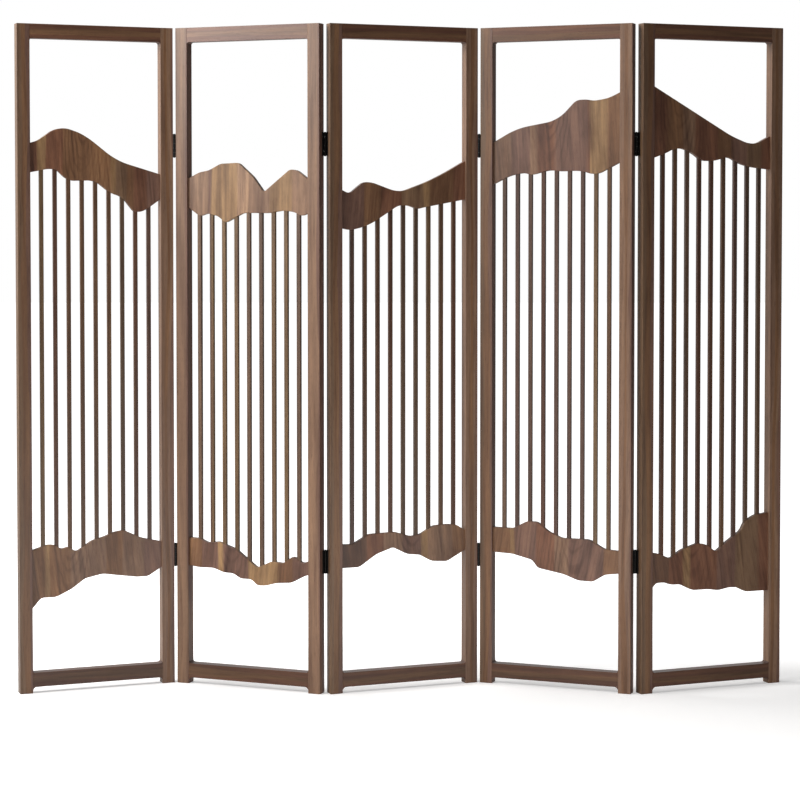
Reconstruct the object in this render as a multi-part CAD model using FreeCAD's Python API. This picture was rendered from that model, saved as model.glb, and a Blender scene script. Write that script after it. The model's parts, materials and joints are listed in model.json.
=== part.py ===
import FreeCAD, Part
import math
import os

# Five-panel wooden folding screen, standing in a zigzag. Millimetres, +Z up.
# The front faces -Y and the first panel is at the left. The origin is on the floor,
# under the middle of the screen's box.
Vector = FreeCAD.Vector

# Frame of a panel
screen_height = 1800.0
panel_width = 430.0
frame_depth = 30.0
stile_face = 35.0
rail_height = 39.0
foot_height = 17.0        # from the floor to the underside of the bottom rail
edge_ease = 1.0           # rounding of the stiles' edges
corner_radius = 6.0       # rounding inside the four corners of a frame
arch_radius = 10.0        # rounding under the bottom rail, where it meets the feet
ear_sweep = 70.0          # degrees of that rounding, which leaves its tip blunt

# Boards and slats
board_thickness = 14.0
slat_width = 11.0
slat_depth = 10.0
slat_count = 9
slat_housing = 15.0       # length of a slat's end inside a board
soft_round = 20.0         # most that a rounded corner of a soft outline takes from each of its runs
crisp_round = 8.0         # the same for a crisp outline
run_share = 0.45          # largest share of a short run that a corner takes
upper_board_drop = 600.0  # from the top of the screen to the upper outlines' zero line
lower_board_lift = 200.0  # from the floor to the lower outlines' zero line
outline_rise = 100.0      # height that 100 percent in an outline stands for

# Wood joints
rail_tenon_length = 22.0
rail_tenon_thickness = 10.0
rail_tenon_shoulder = 6.0
board_tenon_length = 12.0
board_tenon_thickness = 8.0
board_tenon_shoulder = 6.0
joint_clearance = 0.2     # between a tenon or slat end and its mortise, each side
mortise_end_gap = 1.0     # left beyond the end of a tenon

# Hinges
joint_gap = 6.0           # between the edges of two neighbouring stiles, laid flat
hinge_length = 63.0
lower_hinge_height = 355.0   # from the floor to the middle of the lower hinges
upper_hinge_drop = 321.0     # from the top to the middle of the upper hinges
leaf_width = 14.0         # from the pin's axis to the leaf's free edge
leaf_thickness = 1.8
pin_proud = 1.5           # from the stiles' face out to the pin's axis
pin_radius = 1.4
pin_clearance = 0.05
pin_head_inset = 0.3      # how much smaller in radius a pin's head is than the knuckles
pin_head_thickness = 1.2
barrel_clearance = 0.3    # from the knuckles to the plane of a stile's edge
knuckle_count = 5
knuckle_gap = 0.3

# Hinge screws
screw_count = 3           # in each leaf
screw_length = 16.0
screw_radius = 1.6
screw_head_radius = 3.0
screw_head_depth = 1.5
screw_clearance = 0.05
recess_length = 3.0
recess_width = 0.8
recess_depth = 0.8

# Pose of the photograph: each panel stands at this angle to the line of the screen
fold_angle = 21.7

# Outlines of the boards, panel by panel. The lower boards are crisp, and so is the second upper
# board; the other upper boards are soft. A point is (percent of the clear width from the
# left stile, percent of the rise above the zero line). Every outline runs from stile to stile.
upper_rounds = [soft_round, crisp_round, soft_round, soft_round, soft_round]
upper_tops = [
    [(0, 282), (6, 288), (18, 319), (27, 324), (38, 311), (46, 294), (62, 249), (71, 232), (100, 201)],
    [(0, 190), (9, 206), (17, 211), (27, 229), (42, 231), (54.5, 192), (63, 151), (84.5, 212),
     (90.5, 209), (100, 184)],
    [(0, 157), (6.5, 146), (17.5, 178), (24.5, 177), (42, 155), (49.5, 154), (69.5, 180),
     (83.5, 204), (100, 237)],
    [(0, 288), (14, 316), (23.5, 328), (46, 342), (54.5, 358), (65.5, 399), (73.5, 400),
     (79.5, 396), (90.5, 402), (100, 418)],
    [(0, 435), (66.5, 304), (80.5, 285), (88.5, 284), (100, 305)],
]
upper_bottoms = [
    [(0, 203), (14, 213), (20, 212), (29, 181), (49.5, 183), (61, 150), (70.5, 139), (79.5, 98),
     (85, 98), (89.5, 105), (100, 132)],
    [(0, 110), (9.5, 86), (16, 94), (25, 86), (31, 68), (46, 95), (66.5, 94), (79, 101), (88, 97),
     (94, 86), (100, 94)],
    [(0, 54), (7, 48), (17, 56), (25.5, 69), (46, 116), (54.5, 115), (61, 105), (66.5, 110), (100, 132)],
    [(0, 174), (14, 198), (24.5, 204), (30.5, 198), (45, 211), (53, 207), (68.5, 209), (81, 196),
     (100, 231)],
    [(0, 241), (11, 255), (17, 266), (24.5, 269), (33.5, 256), (41.5, 235), (53.5, 236), (63.5, 249),
     (73.5, 229), (83.5, 220), (100, 214)],
]
lower_tops = [
    [(0, 186), (12, 199), (17, 198), (23, 185), (28, 191), (34, 176), (46, 204), (55.5, 213),
     (63, 224), (71, 228), (84.5, 205), (100, 192)],
    [(0, 203), (8.5, 202), (15.5, 191), (24.5, 196), (39, 178), (57, 130), (68.5, 150), (79, 147),
     (86.5, 168), (94.5, 150), (100, 158)],
    [(0, 202), (9, 201), (22, 226), (43.5, 228), (56, 214), (63.5, 218), (74.5, 240), (86.5, 242),
     (93.5, 239), (100, 224)],
    [(0, 232), (16, 231), (27, 252), (35.5, 252), (44.5, 227), (55, 211), (76.5, 211), (88.5, 187),
     (100, 184)],
    [(0, 180), (6.5, 176), (16, 161), (25.5, 183), (39, 198), (46.5, 194), (55, 172), (64.5, 198),
     (76.5, 226), (80, 250), (88.5, 267), (100, 272)],
]
lower_bottoms = [
    [(0, 27), (7, 56), (18.5, 56), (30.5, 76), (40.5, 102), (54, 112), (80.5, 98), (89.5, 98), (100, 121)],
    [(0, 126), (8.5, 122), (20, 123), (29, 112), (37, 111), (43, 98), (52, 98), (57, 82), (64, 83),
     (73, 92), (85, 95), (95, 114), (100, 120)],
    [(0, 138), (14, 138), (28, 171), (41.5, 187), (53, 166), (63.5, 162), (73, 143), (85.5, 140),
     (100, 168)],
    [(0, 163), (15.5, 161), (31.5, 147), (36, 126), (56.5, 113), (68, 98), (79.5, 97), (89, 118),
     (100, 123)],
    [(0, 81), (4, 97), (11, 97), (16, 90), (24.5, 89), (35, 71), (48, 71), (57, 66), (66.5, 72),
     (73, 71), (81, 57), (100, 57)],
]

# Sizes that follow from those above
panel_count = len(upper_tops)
clear_left = stile_face
clear_right = panel_width - stile_face
clear_width = clear_right - clear_left
middle_depth = frame_depth / 2
barrel_radius = joint_gap / 2 - barrel_clearance
pin_head_radius = barrel_radius - pin_head_inset
knuckle_length = (hinge_length - (knuckle_count - 1) * knuckle_gap) / knuckle_count
hinge_heights = {"lower": lower_hinge_height, "upper": screen_height - upper_hinge_drop}
upper_zero = screen_height - upper_board_drop
up = Vector(0, 0, 1)


def block(x_range, y_range, z_range):
    corner = Vector(x_range[0], y_range[0], z_range[0])
    return Part.makeBox(x_range[1] - x_range[0], y_range[1] - y_range[0], z_range[1] - z_range[0], corner)


def about(centre, size):
    return (centre - size / 2, centre + size / 2)


def grown(limits, margin):
    return (limits[0] - margin, limits[1] + margin)


def outline_points(shares, zero_line):
    points = []
    for share, height in shares:
        x = clear_left + clear_width * share / 100
        points.append(Vector(x, 0, zero_line + outline_rise * height / 100))
    return points


def height_at(points, x):
    """Height of an outline's straight runs at x."""
    for start, end in zip(points, points[1:]):
        if start.x <= x <= end.x:
            return start.z + (end.z - start.z) * (x - start.x) / (end.x - start.x)


def rounded_run(points, corner_round):
    """Straight runs through the points, each inner corner rounded by a tangent arc."""
    edges = []
    run_start = points[0]
    for before, corner, after in zip(points, points[1:], points[2:]):
        run_in = corner - before
        run_out = after - corner
        half_turn = run_in.getAngle(run_out) / 2
        taken = min(corner_round, run_share * run_in.Length, run_share * run_out.Length)
        way_in = Vector(run_in).normalize()
        way_out = Vector(run_out).normalize()
        arc_start = corner - way_in * taken
        arc_end = corner + way_out * taken
        radius = taken / math.tan(half_turn)
        inward = Vector(way_out - way_in).normalize()
        arc_middle = corner + inward * (radius / math.cos(half_turn) - radius)
        edges.append(Part.makeLine(run_start, arc_start))
        edges.append(Part.Arc(arc_start, arc_middle, arc_end).toShape())
        run_start = arc_end
    edges.append(Part.makeLine(run_start, points[-1]))
    return edges


def slab(edges, depth, y_start):
    face = Part.Face(Part.Wire(edges))
    face.translate(Vector(0, y_start, 0))
    return face.extrude(Vector(0, depth, 0))


def slat_centres():
    gap = (clear_width - slat_count * slat_width) / (slat_count + 1)
    return [clear_left + gap + slat_width / 2 + index * (slat_width + gap) for index in range(slat_count)]


def slat_blocks(upper_bottom, lower_top, clearance, end_gap):
    """One block for each slat, or, with clearances, for its housings."""
    blocks = []
    for centre in slat_centres():
        low = height_at(lower_top, centre) - slat_housing - end_gap
        high = height_at(upper_bottom, centre) + slat_housing + end_gap
        x_range = grown(about(centre, slat_width), clearance)
        y_range = grown(about(middle_depth, slat_depth), clearance)
        blocks.append(block(x_range, y_range, (low, high)))
    return blocks


def tenon_pair(z_range, thickness, length, clearance, end_gap):
    """Tenons that reach from the clear opening into both stiles."""
    y_range = grown(about(middle_depth, thickness), clearance)
    z_grown = grown(z_range, clearance)
    reach = length + end_gap
    left = block((clear_left - reach, clear_left), y_range, z_grown)
    right = block((clear_right, clear_right + reach), y_range, z_grown)
    return [left, right]


def board(bottom, top, corner_round, housings):
    edges = rounded_run(bottom, corner_round)
    edges.append(Part.makeLine(bottom[-1], top[-1]))
    edges += rounded_run(top[::-1], corner_round)
    edges.append(Part.makeLine(top[0], bottom[0]))
    plank = slab(edges, board_thickness, middle_depth - board_thickness / 2)
    plank = plank.cut(housings)
    return plank.fuse(board_tenons(bottom, top, 0, 0))


def board_tenons(bottom, top, clearance, end_gap):
    """A stub tenon at each end, within the board's own height there."""
    left_range = (bottom[0].z + board_tenon_shoulder, top[0].z - board_tenon_shoulder)
    right_range = (bottom[-1].z + board_tenon_shoulder, top[-1].z - board_tenon_shoulder)
    left = tenon_pair(left_range, board_tenon_thickness, board_tenon_length, clearance, end_gap)[0]
    right = tenon_pair(right_range, board_tenon_thickness, board_tenon_length, clearance, end_gap)[1]
    return [left, right]


def ear_side(z_edge, radius, side):
    """One long side of a rail, from left to right, with a rounded ear at each end.

    Side is -1 for the rail's lower edge and 1 for its upper edge.
    """
    sweep = math.radians(ear_sweep)

    def on_arc(angle):
        return (radius - radius * math.sin(angle), side * radius * (1 - math.cos(angle)))

    def left(angle):
        across, rise = on_arc(angle)
        return Vector(clear_left + across, 0, z_edge + rise)

    def right(angle):
        across, rise = on_arc(angle)
        return Vector(clear_right - across, 0, z_edge + rise)

    start = Vector(clear_left, 0, left(sweep).z)
    end = Vector(clear_right, 0, right(sweep).z)
    return [
        Part.makeLine(start, left(sweep)),
        Part.Arc(left(sweep), left(sweep / 2), left(0)).toShape(),
        Part.makeLine(left(0), right(0)),
        Part.Arc(right(0), right(sweep / 2), right(sweep)).toShape(),
        Part.makeLine(right(sweep), end),
    ], start, end


def straight_side(z_edge):
    start = Vector(clear_left, 0, z_edge)
    end = Vector(clear_right, 0, z_edge)
    return [Part.makeLine(start, end)], start, end


def rail(lower_side, upper_side, tenons):
    lower_edges, lower_start, lower_end = lower_side
    upper_edges, upper_start, upper_end = upper_side
    ends = [Part.makeLine(lower_start, upper_start), Part.makeLine(lower_end, upper_end)]
    wire_edges = Part.__sortEdges__(lower_edges + upper_edges + ends)
    return slab(wire_edges, frame_depth, 0).fuse(tenons)


def rail_tenons(z_low, clearance, end_gap):
    z_range = (z_low + rail_tenon_shoulder, z_low + rail_height - rail_tenon_shoulder)
    return tenon_pair(z_range, rail_tenon_thickness, rail_tenon_length, clearance, end_gap)


def stile(x_left, cuts):
    post = block((x_left, x_left + stile_face), (0, frame_depth), (0, screen_height))
    return post.makeFillet(edge_ease, post.Edges).cut(cuts)


def knuckle_start(index):
    return -hinge_length / 2 + index * (knuckle_length + knuckle_gap)


def knuckle(index):
    return Part.makeCylinder(barrel_radius, knuckle_length, Vector(0, 0, knuckle_start(index)), up)


def screw_heights():
    step = hinge_length / screw_count
    return [(index - (screw_count - 1) / 2) * step for index in range(screw_count)]


def screw_body(clearance, end_gap):
    """A countersunk screw along -X, the top of its head at the origin."""
    head_radius = screw_head_radius + clearance
    shank_radius = screw_radius + clearance
    inward = Vector(-1, 0, 0)
    head = Part.makeCone(head_radius, shank_radius, screw_head_depth, Vector(0, 0, 0), inward)
    shank = Part.makeCylinder(shank_radius, screw_length + end_gap, Vector(0, 0, 0), inward)
    return head.fuse(shank)


def screw():
    long_cut = block((-recess_depth, 0), about(0, recess_length), about(0, recess_width))
    cross_cut = block((-recess_depth, 0), about(0, recess_width), about(0, recess_length))
    return screw_body(0, 0).cut([long_cut, cross_cut])


def leaf_screws(make):
    """Copies of one screw, or of its hole, where a leaf has them."""
    across = (barrel_radius + knuckle_gap + leaf_width) / 2
    copies = []
    for height in screw_heights():
        copy = make.copy()
        copy.translate(Vector(-joint_gap / 2 + leaf_thickness, across, height))
        copies.append(copy)
    return copies


def leaf(own_knuckles):
    """A leaf at the left of the pin, which stands on the origin; the stile's edge is behind it."""
    x_range = (-joint_gap / 2, -joint_gap / 2 + leaf_thickness)
    plate = block(x_range, (0, leaf_width), about(0, hinge_length))
    room = barrel_radius + knuckle_gap
    for index in range(knuckle_count):
        if index not in own_knuckles:
            z_range = (knuckle_start(index), knuckle_start(index) + knuckle_length)
            plate = plate.cut(block(x_range, (0, room), grown(z_range, knuckle_gap)))
    knuckles = [knuckle(index) for index in own_knuckles]
    bore = Part.makeCylinder(pin_radius + pin_clearance, hinge_length, Vector(0, 0, -hinge_length / 2), up)
    holes = leaf_screws(screw_body(screw_clearance, 0))
    return plate.fuse(knuckles).cut([bore] + holes)


def hinge_pin():
    shank = Part.makeCylinder(pin_radius, hinge_length, Vector(0, 0, -hinge_length / 2), up)
    top = Part.makeCylinder(pin_head_radius, pin_head_thickness, Vector(0, 0, hinge_length / 2), up)
    bottom = Part.makeCylinder(pin_head_radius, pin_head_thickness, Vector(0, 0, -hinge_length / 2), -up)
    return shank.fuse([top, bottom])


def pin_at_front(joint):
    """Joints are counted from the left, from 1. Every other one folds front to front."""
    return joint % 2 == 1


def pin_point(joint, on_left_edge):
    x = -joint_gap / 2 if on_left_edge else panel_width + joint_gap / 2
    y = -pin_proud if pin_at_front(joint) else frame_depth + pin_proud
    return Vector(x, y, 0)


def at_hinge(shape, joint, on_left_edge, height):
    """Turns a left-hand, front-pinned hinge piece to its panel's edge and side, and sets it there."""
    placed = shape
    if on_left_edge:
        placed = placed.mirror(Vector(0, 0, 0), Vector(1, 0, 0))
    if not pin_at_front(joint):
        placed = placed.mirror(Vector(0, 0, 0), Vector(0, 1, 0))
    placed = placed.copy()
    placed.translate(pin_point(joint, on_left_edge) + Vector(0, 0, height))
    return placed


def panel_placements():
    """Place of every panel: neighbours share a pin, and turn to the left and right in turn."""
    places = []
    for index in range(panel_count):
        turn = fold_angle if index % 2 == 0 else -fold_angle
        rotation = FreeCAD.Rotation(up, turn)
        origin = Vector(0, 0, 0)
        if places:
            shared_pin = places[-1].multVec(pin_point(index, False))
            origin = shared_pin - rotation.multVec(pin_point(index, True))
        places.append(FreeCAD.Placement(origin, rotation))
    return places


def panel_nodes(index):
    """All pieces of one panel in its own frame: front at y = 0, left edge at x = 0."""
    name = f"panel_{index + 1}"
    upper_top = outline_points(upper_tops[index], upper_zero)
    upper_bottom = outline_points(upper_bottoms[index], upper_zero)
    lower_top = outline_points(lower_tops[index], lower_board_lift)
    lower_bottom = outline_points(lower_bottoms[index], lower_board_lift)
    top_rail_low = screen_height - rail_height
    bottom_rail_low = foot_height

    mortises = rail_tenons(top_rail_low, joint_clearance, mortise_end_gap)
    mortises += rail_tenons(bottom_rail_low, joint_clearance, mortise_end_gap)
    mortises += board_tenons(lower_bottom, lower_top, joint_clearance, mortise_end_gap)
    mortises += board_tenons(upper_bottom, upper_top, joint_clearance, mortise_end_gap)
    housings = slat_blocks(upper_bottom, lower_top, joint_clearance, mortise_end_gap)

    nodes = {}
    screws = []
    pilot_holes = {True: [], False: []}
    # The joint at the panel's left edge has the panel's number less one, the right one its number.
    for joint, on_left_edge in ((index, True), (index + 1, False)):
        if joint == 0 or joint == panel_count:
            continue
        side = "right" if on_left_edge else "left"
        own_knuckles = range(1, knuckle_count, 2) if on_left_edge else range(0, knuckle_count, 2)
        pins = []
        for level, height in hinge_heights.items():
            plate = at_hinge(leaf(own_knuckles), joint, on_left_edge, height)
            nodes[f"joint_{joint}_{level}_{side}_leaf"] = [plate]
            for fastener in leaf_screws(screw()):
                screws.append(at_hinge(fastener, joint, on_left_edge, height))
            for hole in leaf_screws(screw_body(screw_clearance, mortise_end_gap)):
                pilot_holes[on_left_edge].append(at_hinge(hole, joint, on_left_edge, height))
            pins.append(at_hinge(hinge_pin(), joint, on_left_edge, height))
        if not on_left_edge:
            nodes[f"joint_{joint}_pins"] = pins
    nodes[f"{name}_screws"] = screws

    bottom_rail_sides = (ear_side(bottom_rail_low, arch_radius, -1),
                         ear_side(bottom_rail_low + rail_height, corner_radius, 1))
    top_rail_sides = (ear_side(top_rail_low, corner_radius, -1), straight_side(screen_height))
    nodes[f"{name}_left_stile"] = [stile(0, mortises[0::2] + pilot_holes[True])]
    nodes[f"{name}_right_stile"] = [stile(clear_right, mortises[1::2] + pilot_holes[False])]
    nodes[f"{name}_bottom_rail"] = [rail(*bottom_rail_sides, rail_tenons(bottom_rail_low, 0, 0))]
    nodes[f"{name}_top_rail"] = [rail(*top_rail_sides, rail_tenons(top_rail_low, 0, 0))]
    nodes[f"{name}_upper_board"] = [board(upper_bottom, upper_top, upper_rounds[index], housings)]
    nodes[f"{name}_lower_board"] = [board(lower_bottom, lower_top, crisp_round, housings)]
    nodes[f"{name}_slats"] = slat_blocks(upper_bottom, lower_top, 0, 0)
    return nodes


screen = {}
for number, place in enumerate(panel_placements()):
    for node, solids in panel_nodes(number).items():
        moved = Part.makeCompound(solids)
        moved.Placement = place
        screen[node] = moved

whole = Part.makeCompound(list(screen.values())).BoundBox
to_origin = Vector(-whole.Center.x, -whole.Center.y, 0)
os.makedirs("parts", exist_ok=True)
for node, shape in screen.items():
    shape.translate(to_origin)
    shape.exportStep(f"parts/{node}.step")
print(len(screen), "nodes,", sum(len(shape.Solids) for shape in screen.values()), "solids")
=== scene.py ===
# %% [markdown]
# A walnut folding screen.
# Five slatted panels stand in a zigzag and fold on black butt hinges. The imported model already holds
# every piece at its real size, so this lesson never moves one: it loads the pieces as a fixed frame,
# rounds over the edges that a hand would feel, and gives each surface its finish.

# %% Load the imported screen
import json
import math
import random

import bmesh
import bpy
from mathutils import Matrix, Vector

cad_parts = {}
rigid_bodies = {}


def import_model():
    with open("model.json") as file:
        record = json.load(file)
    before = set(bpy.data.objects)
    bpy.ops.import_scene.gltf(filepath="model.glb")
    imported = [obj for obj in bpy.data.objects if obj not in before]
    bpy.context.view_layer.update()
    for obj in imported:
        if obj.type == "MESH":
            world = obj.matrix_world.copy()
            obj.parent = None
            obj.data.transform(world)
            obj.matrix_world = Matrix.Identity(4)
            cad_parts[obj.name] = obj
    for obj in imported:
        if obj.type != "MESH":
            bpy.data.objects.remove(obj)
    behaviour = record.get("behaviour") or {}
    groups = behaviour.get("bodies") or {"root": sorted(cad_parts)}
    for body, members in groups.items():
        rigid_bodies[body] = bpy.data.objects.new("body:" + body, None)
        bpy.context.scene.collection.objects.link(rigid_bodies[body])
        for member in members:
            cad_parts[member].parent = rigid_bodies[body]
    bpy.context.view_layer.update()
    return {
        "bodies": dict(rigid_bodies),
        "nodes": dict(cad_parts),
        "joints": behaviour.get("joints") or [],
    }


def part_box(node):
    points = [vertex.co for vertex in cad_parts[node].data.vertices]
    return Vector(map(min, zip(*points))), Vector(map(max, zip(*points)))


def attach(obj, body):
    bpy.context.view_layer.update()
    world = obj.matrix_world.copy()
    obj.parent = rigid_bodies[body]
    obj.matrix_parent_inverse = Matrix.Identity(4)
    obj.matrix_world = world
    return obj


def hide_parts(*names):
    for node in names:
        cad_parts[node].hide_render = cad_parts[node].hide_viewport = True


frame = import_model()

# %% [markdown]
# Where each panel stands.
# The panels are turned left and right in turn. Wood grain has to follow its own panel, not the room,
# so every finish needs the panel's middle and the way it is turned. Both could be typed in, but a
# screen that is folded a little more would then be wrong, so they come from the boxes of the two
# stiles: the line from one stile's middle to the other runs along the panel.

# %% Measure the panels
stile_face = 0.035


def middle(node):
    low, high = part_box(node)
    return (Vector(low) + Vector(high)) / 2


panels = {}
for name in sorted(frame["bodies"]):
    left, right = middle(name + "_left_stile"), middle(name + "_right_stile")
    across = right - left
    panels[name] = {
        "middle": (left + right) / 2,
        "turn": math.atan2(across.y, across.x),
        "opening": across.to_2d().length - stile_face,
    }
    print(name, "turned", round(math.degrees(panels[name]["turn"]), 1), "degrees")

# %% [markdown]
# A short way to write shader nodes.
# A finish is a small net of nodes. Adding one takes the same three steps each time: make the node, set
# its plain values, join the sockets that come from other nodes. One helper does the three, and others
# make a colour ramp from a list of stops, stretch a noise along the grain and multiply two colours.

# %% Node helpers
noise_roughness = 0.6


def add_node(tree, kind, values=None, links=None, **settings):
    node = tree.nodes.new("ShaderNode" + kind)
    for setting, value in settings.items():
        setattr(node, setting, value)
    for socket, value in (values or {}).items():
        node.inputs[socket].default_value = value
    for socket, source in (links or {}).items():
        tree.links.new(source, node.inputs[socket])
    return node


def add_ramp(tree, source, stops):
    ramp = add_node(tree, "ValToRGB", links={"Fac": source})
    elements = ramp.color_ramp.elements
    while len(elements) > 1:
        elements.remove(elements[-1])
    elements[0].position, elements[0].color = stops[0][0], (*stops[0][1], 1)
    for place, colour in stops[1:]:
        elements.new(place).color = (*colour, 1)
    return ramp.outputs["Color"]


def add_noise(tree, place, per_metre, detail, shift):
    """Noise that is stretched by its own count per metre across, through and along the grain."""
    spread = add_node(tree, "Mapping", {"Location": shift, "Scale": per_metre}, {"Vector": place})
    noise = add_node(tree, "TexNoise",
                     {"Scale": 1.0, "Detail": detail, "Roughness": noise_roughness},
                     {"Vector": spread.outputs["Vector"]})
    return noise.outputs["Fac"]


def add_product(tree, first, second):
    product = add_node(tree, "VectorMath", links={0: first, 1: second}, operation="MULTIPLY")
    return product.outputs["Vector"]


def add_range(tree, source, start, end, low, high):
    """Takes values from start to end over to values from low to high."""
    moved = add_node(tree, "MapRange", {"From Min": start, "From Max": end,
                                        "To Min": low, "To Max": high}, {"Value": source})
    return moved.outputs["Result"]


def add_math(tree, operation, first, second):
    return add_node(tree, "Math", links={0: first, 1: second}, operation=operation).outputs["Value"]


def new_material(name):
    material = bpy.data.materials.new(name)
    material.use_nodes = True
    return material, material.node_tree, material.node_tree.nodes["Principled BSDF"]


print("node helpers ready")

# %% [markdown]
# The walnut finish.
# Oiled walnut is not one brown: boards are glued up from staves of red, grey, dark and tan heartwood,
# each with fine dark streaks along the tree, arched figure where the saw crossed the rings, and short
# pores. An image could be wrapped round each piece, but it would repeat, so the same four things are
# made from noise here, in the panel's own metres: x across, y through and z up.

# %% Tones of the heartwood
tones = {
    "brown": (0.156, 0.077, 0.038),
    "red": (0.142, 0.061, 0.034),
    "dark": (0.095, 0.047, 0.028),
    "plum": (0.130, 0.068, 0.048),
    "grey": (0.176, 0.100, 0.062),
    "olive": (0.145, 0.083, 0.047),
    "pale": (0.220, 0.130, 0.080),
    "tan": (0.236, 0.138, 0.066),
}
tone_blend = 0.018      # the share of the width over which one stave runs into the next
plain = (1.0, 1.0, 1.0)


def tone_stops(staves):
    """Ramp stops for staves given as (share of the width where one starts, its tone)."""
    stops = []
    for (start, tone), (end, _) in zip(staves, staves[1:] + [(1.0, None)]):
        stops.append((start + tone_blend / 2 if start else 0.0, tones[tone]))
        stops.append((end - tone_blend / 2, tones[tone]))
    return stops


print(len(tones), "tones")

# %% [markdown]
# Wavering grain and arched figure.
# No tree grows quite straight, so the lines of the grain are pushed a little from side to side. Where
# a board was cut close to the middle of the tree, its rings come out as arches. A flat drawing of
# arches would look printed, so real rings are laid round a leaning axis just behind the board, and the
# board's face cuts them as the saw did.

# %% Sway
sway_detail = 2


def add_sway(tree, place, per_metre, reach, shift):
    """Moves places across the grain by up to the reach, so that straight lines waver."""
    noise = add_noise(tree, place, per_metre, sway_detail, shift)
    offset = add_node(tree, "CombineXYZ", links={"X": add_range(tree, noise, 0, 1, -reach, reach)})
    moved = add_node(tree, "VectorMath", links={0: place, 1: offset.outputs["Vector"]}, operation="ADD")
    return moved.outputs["Vector"]


print("sway ready")

# %% Figure
ring_spacing = 0.010
wave_turn = 20          # the wave node counts 20 radians a unit
ring_scale = 2 * math.pi / (wave_turn * ring_spacing)
ring_waver = {"Distortion": 5.0, "Detail": 2.0, "Detail Scale": 0.45}
heart_depth = 0.022
heart_tilt = math.radians(14)
figure_full, figure_gone = 0.02, 0.10       # metres from the heart
patch_size, patch_detail = (14, 14, 6), 2
patch_start, patch_end = 0.32, 0.58
arch_stops = [(0.0, (0.56, 0.50, 0.47)), (0.45, plain), (1.0, (1.08, 1.08, 1.06))]
around_axis = (1, 1, 0)


def add_figure(tree, grain, heart, shift):
    """Uneven arches round the middle of the tree, which lies close behind the place of the heart."""
    axis = add_node(tree, "Mapping", {"Location": (heart[0], heart_depth, heart[1]),
                                      "Rotation": (heart_tilt, 0, 0)},
                    {"Vector": grain}, vector_type="TEXTURE").outputs["Vector"]
    rings = add_node(tree, "TexWave", {"Scale": ring_scale, **ring_waver}, {"Vector": axis},
                     wave_type="RINGS", rings_direction="Z")
    flat = add_node(tree, "VectorMath", {1: around_axis}, {0: axis}, operation="MULTIPLY")
    away = add_node(tree, "VectorMath", links={0: flat.outputs["Vector"]}, operation="LENGTH")
    fading = add_range(tree, away.outputs["Value"], figure_full, figure_gone, 1, 0)
    patches = add_range(tree, add_noise(tree, grain, patch_size, patch_detail, shift),
                        patch_start, patch_end, 0, 1)
    strength = add_math(tree, "MULTIPLY", fading, patches)
    arches = add_ramp(tree, rings.outputs["Fac"], arch_stops)
    return add_node(tree, "Mix", {6: (*plain, 1)}, {0: strength, 7: arches},
                    data_type="RGBA").outputs[2]


print("figure ready, a ring every", ring_spacing, "m")

# %% [markdown]
# One walnut for every piece.
# The finish starts with the staves' tones and multiplies them by light and dark: broad bands, fine
# streaks, clouds on the wide boards, and pores. A satin oil leaves the pores a little open, so they
# make the bump, and the streaks make the gloss uneven.

# %% Walnut
broad_size, broad_reach = (7, 7, 1.3), 0.018
torn_size, torn_reach = (90, 90, 1.8), 0.010
band_size, band_detail = (32, 32, 1.1), 4
band_stops = [(0.30, (0.68, 0.63, 0.60)), (0.50, plain), (0.70, (1.34, 1.36, 1.30))]
streak_size, streak_detail = (120, 120, 5), 6
streak_stops = [(0.28, (0.60, 0.55, 0.53)), (0.50, plain), (0.75, (1.28, 1.27, 1.22))]
cloud_size, cloud_detail = (17, 17, 6), 4
cloud_stops = [(0.32, (0.70, 0.65, 0.62)), (0.50, plain), (0.68, (1.20, 1.19, 1.15))]
pore_size, pore_detail = (1500, 1500, 45), 1
pore_stops = [(0.30, (0.62, 0.58, 0.56)), (0.40, plain)]
pore_relief = {"Strength": 0.35, "Distance": 0.0004}
satin_low, satin_high = 0.36, 0.50
wood_specular = 0.34
noise_reach = 40        # how far apart two pieces may lie in the noise


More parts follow.
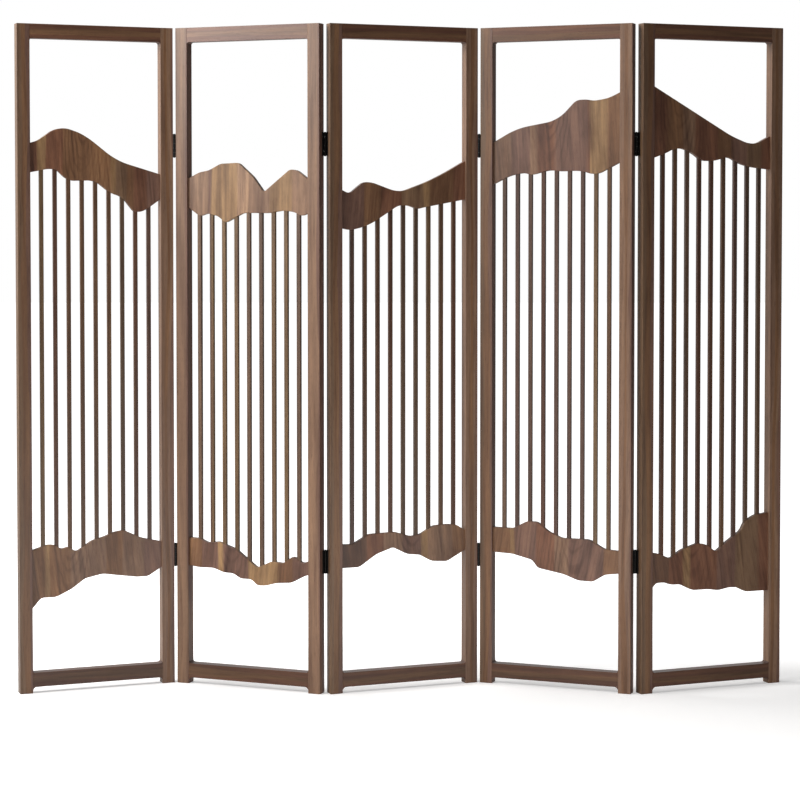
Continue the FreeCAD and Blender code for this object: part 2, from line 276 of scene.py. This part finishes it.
def walnut(name, panel, staves, span, seed, heart=None, lean=0.0, shade=1.0, lies_flat=False):
    """Satin walnut. span is where the staves start and end across the grain, from the panel's middle,
    heart is the place across and along the grain of the arched figure, lean is how far the fibres lean
    over in their staves, shade darkens the whole, and a piece that lies flat has its grain along the
    panel instead of up it."""
    material, tree, shader = new_material(name)
    draw = random.Random(seed)
    shift = [draw.uniform(-noise_reach, noise_reach) for _ in range(3)]

    spot = add_node(tree, "TexCoord").outputs["Object"]
    middle_x, middle_y, _ = panels[panel]["middle"]
    place = add_node(tree, "Mapping", {"Location": (middle_x, middle_y, 0),
                                       "Rotation": (0, 0, panels[panel]["turn"])},
                     {"Vector": spot}, vector_type="TEXTURE").outputs["Vector"]
    if lies_flat:
        place = add_node(tree, "Mapping", {"Rotation": (0, math.pi / 2, 0)},
                         {"Vector": place}).outputs["Vector"]

    grain = add_sway(tree, place, broad_size, broad_reach, shift)
    torn = add_sway(tree, grain, torn_size, torn_reach, shift)
    across = add_node(tree, "SeparateXYZ", links={"Vector": torn}).outputs["X"]
    colour = add_ramp(tree, add_range(tree, across, *span, 0, 1), tone_stops(staves))

    fibres = add_node(tree, "Mapping", {"Rotation": (0, math.radians(lean), 0)},
                      {"Vector": grain}).outputs["Vector"]
    bands = add_noise(tree, fibres, band_size, band_detail, shift)
    streaks = add_noise(tree, fibres, streak_size, streak_detail, shift)
    pores = add_noise(tree, fibres, pore_size, pore_detail, shift)
    shaded_stops = [(at, tuple(shade * part for part in tint)) for at, tint in band_stops]
    colour = add_product(tree, colour, add_ramp(tree, bands, shaded_stops))
    colour = add_product(tree, colour, add_ramp(tree, streaks, streak_stops))
    if heart:
        colour = add_product(tree, colour, add_figure(tree, grain, heart, shift))
        clouds = add_noise(tree, fibres, cloud_size, cloud_detail, shift)
        colour = add_product(tree, colour, add_ramp(tree, clouds, cloud_stops))
    colour = add_product(tree, colour, add_ramp(tree, pores, pore_stops))
    tree.links.new(colour, shader.inputs["Base Color"])

    gloss = add_range(tree, streaks, 0, 1, satin_low, satin_high)
    tree.links.new(gloss, shader.inputs["Roughness"])
    shader.inputs["Specular IOR Level"].default_value = wood_specular
    relief = add_node(tree, "Bump", pore_relief, {"Height": pores})
    tree.links.new(relief.outputs["Normal"], shader.inputs["Normal"])
    return material


print("walnut ready")

# %% [markdown]
# Edges that a hand would feel.
# A maker runs a block of sandpaper along every sawn edge, and the thin round line it leaves is what
# catches the light. The stiles carry that rounding already. A bevel modifier would round the tenons of
# the other pieces too, so a copy of the piece has its loose triangles merged back into whole faces, and
# a bevel rounds only the edges that are chosen by where they lie.

# %% Eased copies
round_steps = 2
merge_distance = 1e-6
same_plane = math.radians(0.2)
sharp_angle = math.radians(40)
corner_angle = math.radians(60)
flat_face_area = 0.0002
flat_facing = 0.99


def eased_copy(node, ease, is_chosen):
    """A copy of a piece with its chosen edges rounded over, which stands for the piece."""
    shape = bmesh.new()
    shape.from_mesh(frame["nodes"][node].data)
    bmesh.ops.remove_doubles(shape, verts=shape.verts, dist=merge_distance)
    bmesh.ops.dissolve_limit(shape, verts=shape.verts, edges=shape.edges, angle_limit=same_plane)
    edges = [edge for edge in shape.edges if is_chosen(edge)]
    bmesh.ops.bevel(shape, geom=edges, offset=ease, offset_type="OFFSET", affect="EDGES",
                    segments=round_steps, profile=0.5, material=-1, clamp_overlap=False)
    mesh = bpy.data.meshes.new("eased_" + node)
    shape.to_mesh(mesh)
    shape.free()
    mesh.set_sharp_from_angle(angle=sharp_angle)
    turn = panels[node[:len("panel_1")]]["turn"]
    front = Vector((math.sin(turn), -math.cos(turn), 0))
    for face in mesh.polygons:
        face.use_smooth = face.area < flat_face_area and abs(face.normal.dot(front)) < flat_facing
    piece = bpy.data.objects.new("eased_" + node, mesh)
    bpy.context.scene.collection.objects.link(piece)
    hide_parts(node)
    return piece, len(edges)


def is_corner(edge):
    return len(edge.link_faces) == 2 and edge.calc_face_angle() > corner_angle


print("easing ready")

# %% [markdown]
# The mountain boards.
# Two boards in each panel are sawn to a mountain outline on both long edges and tenoned into the
# stiles. Only the outline is eased, on the front and the back: the ends stay square where they meet the
# stiles. So an edge is chosen when it runs along the board's front or back face and isn't upright.

# %% Ease the boards
board_ease = 0.0012
board_thickness = 0.014
on_face_limit = 1e-5
upright_share = 0.98


def through(panel, point):
    """How far a point lies behind the panel's middle plane."""
    turn = panels[panel]["turn"]
    away = point - panels[panel]["middle"]
    return away.y * math.cos(turn) - away.x * math.sin(turn)


def is_outline(edge, panel):
    on_face = all(abs(abs(through(panel, vert.co)) - board_thickness / 2) < on_face_limit
                  for vert in edge.verts)
    run = edge.verts[1].co - edge.verts[0].co
    return is_corner(edge) and on_face and abs(run.z) < upright_share * run.length


pieces = {}
for panel in panels:
    for node in (panel + "_upper_board", panel + "_lower_board"):
        pieces[node], count = eased_copy(node, board_ease, lambda edge: is_outline(edge, panel))
        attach(pieces[node], panel)
        print(node, "has", count, "eased edges")

# %% [markdown]
# Rails and slats.
# The rails close each frame at the top and the bottom, and nine square slats stand between the boards.
# They are straight sticks that were planed and sanded in one pass, so their long edges are eased all
# the way. Their ends are hidden in the wood, so the choice can be by length alone.

# %% Ease the rails and slats
rail_ease, slat_ease = 0.001, 0.0008
long_edge = 0.1
for panel in panels:
    for node, ease, slot in ((panel + "_top_rail", rail_ease, "frame_wood"),
                             (panel + "_bottom_rail", rail_ease, "frame_wood"),
                             (panel + "_slats", slat_ease, "slat_wood")):
        pieces[node], count = eased_copy(
            node, ease, lambda edge: is_corner(edge) and edge.calc_length() > long_edge)
        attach(pieces[node], panel)
        print(node, "has", count, "eased edges")

# %% [markdown]
# Choosing the staves.
# The maker lays out the staves of a panel so that their tones run on from the upper board to the slats.
# They could be drawn at random, but a maker chooses, so they are listed: where a stave starts, as a
# share of the opening's width, and its tone. The stiles and rails are single pieces with a lighter or
# darker band in them. Some of the shading here is painted light: panel 2's stiles and top rail are
# paler and greyer as a painted sheen, panel 2 is lightened as painted sheen and panel 1 darkened as
# painted shade, and the slats are darkened as painted shade for their recess between the stiles.

# %% Staves of the boards
board_staves = {
    "panel_1": [(0.0, "red"), (0.06, "tan"), (0.11, "red"), (0.25, "brown"), (0.62, "tan"),
                (0.65, "olive"), (0.75, "brown"), (0.80, "red"), (0.90, "plum")],
    "panel_2": [(0.0, "grey"), (0.05, "pale"), (0.17, "plum"), (0.19, "tan"), (0.42, "pale"),
                (0.50, "grey"), (0.66, "pale"), (0.70, "tan"), (0.86, "grey")],
    "panel_3": [(0.0, "plum"), (0.16, "brown"), (0.30, "red"), (0.47, "olive"), (0.66, "tan"),
                (0.70, "brown"), (0.90, "red")],
    "panel_4": [(0.0, "grey"), (0.15, "plum"), (0.30, "grey"), (0.36, "red"), (0.50, "plum"),
                (0.74, "red"), (0.77, "tan"), (0.90, "brown")],
    "panel_5": [(0.0, "red"), (0.12, "brown"), (0.25, "grey"), (0.34, "red"), (0.55, "brown"),
                (0.66, "plum"), (0.80, "olive"), (0.92, "red")],
}
lower_staves = {
    "panel_1": [(0.0, "brown"), (0.10, "tan"), (0.14, "brown"), (0.30, "grey"), (0.55, "brown"),
                (0.70, "grey"), (0.87, "plum")],
    "panel_2": [(0.0, "brown"), (0.10, "plum"), (0.24, "tan"), (0.28, "plum"), (0.50, "tan"),
                (0.75, "brown"), (0.88, "plum")],
    "panel_3": [(0.0, "dark"), (0.20, "red"), (0.34, "grey"), (0.50, "plum"), (0.65, "tan"),
                (0.69, "grey"), (0.90, "brown")],
    "panel_4": [(0.0, "brown"), (0.12, "tan"), (0.16, "plum"), (0.35, "red"), (0.50, "grey"),
                (0.62, "plum"), (0.87, "brown")],
    "panel_5": [(0.0, "dark"), (0.15, "red"), (0.27, "tan"), (0.33, "red"), (0.55, "plum"),
                (0.72, "olive"), (0.92, "red")],
}
# shares of the opening's width; a heart far outside the opening leaves straight grain
upper_hearts = {"panel_1": 0.40, "panel_2": -0.60, "panel_3": -0.60, "panel_4": 0.45, "panel_5": 0.22}
lower_hearts = {"panel_1": 0.30, "panel_2": 0.36, "panel_3": 0.58, "panel_4": 0.66, "panel_5": 0.35}
# degrees
upper_leans = {"panel_1": 6, "panel_2": 0, "panel_3": -5, "panel_4": 4, "panel_5": 5}
lower_leans = {"panel_1": 8, "panel_2": -6, "panel_3": 5, "panel_4": -8, "panel_5": 9}
print(sum(len(staves) for staves in (*board_staves.values(), *lower_staves.values())), "staves")

# %% Bands and shades of the frames
stile_staves = {
    "left": [(0.0, "olive"), (0.30, "brown"), (0.72, "plum")],
    "right": [(0.0, "grey"), (0.35, "brown"), (0.62, "grey"), (0.85, "plum")],
}
rail_staves = [(0.0, "red"), (0.35, "brown"), (0.70, "red")]
# painted shade: the slats are darkened to about half, standing in for the shade of their recess between
# the stiles
slat_painted_shade = 0.53
stile_shades = {"left": 0.88, "right": 1.0}
rail_shades = {"_top_rail": 0.78, "_bottom_rail": 0.54}
# painted light: panel 2 is lightened as painted sheen and panel 1 darkened as painted shade; the others
# keep their tone
painted_panel_light = {"panel_1": 0.93, "panel_2": 1.04, "panel_3": 1.0, "panel_4": 1.0, "panel_5": 1.0}

# painted sheen: panel 2 is turned to the sheen lamp, so its stiles and top rail get paler, greyer
# staves and a lighter shade as a painted highlight
painted_sheen_stiles = ("panel_2_left_stile", "panel_2_right_stile")
painted_sheen_stile_staves = [(0.0, "grey"), (0.85, "plum")]
painted_sheen_rail, painted_sheen_rail_shade = "panel_2_top_rail", 1.15
painted_sheen_rail_staves = [(0.0, "plum"), (0.35, "grey"), (0.70, "plum")]
print("the palest pieces are", *painted_sheen_stiles, painted_sheen_rail)

# %% Finish the wood
seeds_per_panel = 100
left_stile_seed, right_stile_seed, top_rail_seed, bottom_rail_seed = 1, 2, 3, 4

for number, panel in enumerate(panels):
    half = panels[panel]["opening"] / 2
    seed = seeds_per_panel * number
    # each panel's painted sheen or shade multiplies all its pieces
    painted_light_of_panel = painted_panel_light[panel]
    for node, staves, hearts, leans in (("_upper_board", board_staves, upper_hearts, upper_leans),
                                        ("_lower_board", lower_staves, lower_hearts, lower_leans)):
        heart = (half * (2 * hearts[panel] - 1), middle(panel + node).z)
        wood = walnut(panel + node + "_walnut", panel, staves[panel], (-half, half), seed, heart,
                      leans[panel], painted_light_of_panel)
        pieces[panel + node].data.materials.append(wood)
    # the slats' walnut carries the painted shade of their recess
    wood = walnut(panel + "_slats_walnut", panel, board_staves[panel], (-half, half), seed,
                  shade=slat_painted_shade * painted_light_of_panel)
    pieces[panel + "_slats"].data.materials.append(wood)
    for side, start, extra in (("left", -half - stile_face, left_stile_seed),
                               ("right", half, right_stile_seed)):
        node = panel + "_" + side + "_stile"
        # panel 2's stiles take the paler, greyer staves of the painted sheen
        staves = painted_sheen_stile_staves if node in painted_sheen_stiles else stile_staves[side]
        wood = walnut(node + "_walnut", panel, staves, (start, start + stile_face), seed + extra,
                      shade=stile_shades[side] * painted_light_of_panel)
        stile = frame["nodes"][node].data
        stile.materials.clear()
        stile.materials.append(wood)
    for end, extra in (("_top_rail", top_rail_seed), ("_bottom_rail", bottom_rail_seed)):
        node = panel + end
        staves, shade = rail_staves, rail_shades[end]
        # panel 2's top rail is lightened and greyed as painted sheen
        if node == painted_sheen_rail:
            staves, shade = painted_sheen_rail_staves, painted_sheen_rail_shade
        low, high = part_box(node)
        wood = walnut(node + "_walnut", panel, staves, (low[2], high[2]), seed + extra,
                      shade=shade * painted_light_of_panel, lies_flat=True)
        pieces[node].data.materials.append(wood)
print(len(bpy.data.materials), "materials")

# %% [markdown]
# Black hinges.
# The hinges, their pins and screws are steel with a black oxide finish: nearly black, a little cloudy,
# and worn slightly brighter in fine specks. Plain black would look like a hole beside the wood, so two
# noises make the clouds and the specks. The solids are right as they are and only take this finish.

# %% Black steel
oxide_size, oxide_detail, oxide_shift = (90, 90, 90), 3, (3, 5, 7)
oxide_stops = [(0.35, (0.004, 0.0038, 0.0035)), (0.65, (0.008, 0.0075, 0.007))]
speck_size, speck_detail, speck_shift = (1800, 1800, 1800), 1, (11, 2, 5)
speck_stops = [(0.60, plain), (0.72, (1.6, 1.6, 1.6))]
speck_relief = {"Strength": 0.2, "Distance": 0.0001}
gloss_spread = 0.07
steel_specular = 0.15
hinge_roughness, screw_roughness = 0.50, 0.42


def black_steel(name, roughness):
    material, tree, shader = new_material(name)
    place = add_node(tree, "TexCoord").outputs["Object"]
    oxide = add_noise(tree, place, oxide_size, oxide_detail, oxide_shift)
    specks = add_noise(tree, place, speck_size, speck_detail, speck_shift)
    colour = add_product(tree, add_ramp(tree, oxide, oxide_stops), add_ramp(tree, specks, speck_stops))
    tree.links.new(colour, shader.inputs["Base Color"])
    gloss = add_range(tree, oxide, 0, 1, roughness - gloss_spread, roughness + gloss_spread)
    tree.links.new(gloss, shader.inputs["Roughness"])
    shader.inputs["Specular IOR Level"].default_value = steel_specular
    relief = add_node(tree, "Bump", speck_relief, {"Height": specks})
    tree.links.new(relief.outputs["Normal"], shader.inputs["Normal"])
    return material


hinge_black = black_steel("hinge_black", hinge_roughness)
screw_black = black_steel("screw_black", screw_roughness)
for node, piece in frame["nodes"].items():
    if node.startswith("joint_") or node.endswith("_screws"):
        piece.data.materials.clear()
        piece.data.materials.append(hinge_black if node.endswith("_leaf") else screw_black)
print("black steel on the hinges")

# %% [markdown]
# The studio floor.
# The screen stands on a pale seamless floor. More light would make it white, but would bleach the wood
# too. So its colour is lifted to white only for rays that come straight from the camera or by a
# reflection, and less close to the screen, so that the soft shadow stays, while the light that the
# floor throws up on the wood is that of plain pale paint. At the right it is mirrored less.

# %% Floor
floor_size = 60.0
floor_pale = (0.84, 0.83, 0.82)
near_lift, far_lift = 0.385, 1.0
lift_start, lift_end = 1.6, 4.0
behind_start, behind_end = 0.15, 0.80
mirror_left, mirror_right = 0.3, 1.3
left_mirrored, right_mirrored = 0.3, 0.05


def seen_directly(tree, mirrored):
    """1 for rays from the camera or through glass, the share that is mirrored for rays from a
    reflection, and 0 for the rest."""
    path = add_node(tree, "LightPath")
    glossy = add_math(tree, "MULTIPLY", path.outputs["Is Glossy Ray"], mirrored)
    both = add_math(tree, "MAXIMUM", path.outputs["Is Camera Ray"], glossy)
    return add_math(tree, "MAXIMUM", both, path.outputs["Is Transmission Ray"])


shape = bmesh.new()
bmesh.ops.create_grid(shape, x_segments=1, y_segments=1, size=floor_size / 2)
floor_mesh = bpy.data.meshes.new("floor")
shape.to_mesh(floor_mesh)
shape.free()
floor = bpy.data.objects.new("floor", floor_mesh)
bpy.context.scene.collection.objects.link(floor)
print("floor", floor_size, "m across")

# %% Pale paint
paint, tree, shader = new_material("pale_floor")
place = add_node(tree, "TexCoord").outputs["Object"]
distance = add_node(tree, "VectorMath", links={0: place}, operation="LENGTH").outputs["Value"]
spot = add_node(tree, "SeparateXYZ", links={"Vector": place})
lift_away = add_range(tree, distance, lift_start, lift_end, near_lift, far_lift)
lift_behind = add_range(tree, spot.outputs["Y"], behind_start, behind_end, near_lift, far_lift)
lift = add_math(tree, "MAXIMUM", lift_away, lift_behind)
mirrored = add_range(tree, spot.outputs["X"], mirror_left, mirror_right, left_mirrored, right_mirrored)
seen_lift = add_math(tree, "MULTIPLY", lift, seen_directly(tree, mirrored))
shader.inputs["Base Color"].default_value = (*floor_pale, 1)
shader.inputs["Roughness"].default_value = 1.0
shader.inputs["Specular IOR Level"].default_value = 0.0
shader.inputs["Emission Color"].default_value = (1, 1, 1, 1)
tree.links.new(seen_lift, shader.inputs["Emission Strength"])
floor_mesh.materials.append(paint)
print("floor lifted by", near_lift, "near the screen")

# %% [markdown]
# Lamps and room.
# The main light is a large soft lamp at the left, so the panels that are turned to it show their sheen
# and the others stay in half shade. A second one hangs high above it, and a low lamp lifts the feet and
# the lower boards. The room adds an even light and is white to the camera. A photographer hangs a black
# cloth at the right to deepen the faces that are turned there; here the room is simply mirrored less
# on that side.

# %% Lamps
lamps = {
    "sheen_lamp": {"power": 102, "size": (1.3, 1.1),
                   "place": (-2.65, -1.6, 2.45), "aim": (-0.3, 0, 1.3)},
    "high_lamp": {"power": 120, "size": (2.0, 2.0),
                  "place": (-2.5, 0.45, 3.45), "aim": (0, 0, 0.9)},
    "low_lamp": {"power": 11, "size": (2.2, 0.25),
                 "place": (0.45, -1.5, 0.15), "aim": (0.3, 0, 0.30)},
}


def soft_lamp(name, power, place, aim, size):
    lamp = bpy.data.lights.new(name, "AREA")
    lamp.shape, lamp.size, lamp.size_y, lamp.energy = "RECTANGLE", *size, power
    holder = bpy.data.objects.new(name, lamp)
    holder.location = place
    holder.rotation_euler = (Vector(aim) - Vector(place)).to_track_quat("-Z", "Y").to_euler()
    bpy.context.scene.collection.objects.link(holder)


for name, values in lamps.items():
    soft_lamp(name, **values)
print(len(lamps), "lamps")

# %% Room
room_light = 0.14
cloth_start, cloth_end = 0.22, 0.50         # how far a direction points to the right
cloth_mirrored = 0.05

room = bpy.data.worlds.new("room")
bpy.context.scene.world = room
room.use_nodes = True
tree = room.node_tree
toward = add_node(tree, "TexCoord").outputs["Object"]
to_right = add_node(tree, "SeparateXYZ", links={"Vector": toward}).outputs["X"]
mirrored = add_range(tree, to_right, cloth_start, cloth_end, 1, cloth_mirrored)
strength = add_range(tree, seen_directly(tree, mirrored), 0, 1, room_light, 1)
background = tree.nodes["Background"]
tree.links.new(strength, background.inputs["Strength"])
background.inputs["Color"].default_value = (1, 1, 1, 1)
print("room light", room_light)

# %% [markdown]
# The camera.
# It stands six metres away at chest height, as for a picture of furniture. A camera that is tilted far
# down makes the stiles lean, so it is tilted by two degrees only and its lens is shifted down for the
# rest, which keeps them upright. Its place is counted from the first hinge, where two panels meet.

# %% Camera
lens, film_width, lens_drop = 100.2, 36, 0.1219
camera_tilt = math.radians(2)
right_of_hinge, before_hinge, camera_height = 0.618, 6.108, 1.263

first_pin = next(Vector(joint["pos_m"]) for joint in frame["joints"] if joint["name"] == "hinge_1")
camera = bpy.data.objects.new("camera", bpy.data.cameras.new("camera"))
bpy.context.scene.collection.objects.link(camera)
camera.data.lens = lens
camera.data.sensor_width = film_width
camera.data.shift_y = -lens_drop
camera.location = (first_pin.x + right_of_hinge, first_pin.y - before_hinge, camera_height)
camera.rotation_euler = (math.radians(90) - camera_tilt, 0, 0)
bpy.context.scene.camera = camera
bpy.context.scene.view_settings.view_transform = "Standard"
print("camera at", [round(value, 3) for value in camera.location])
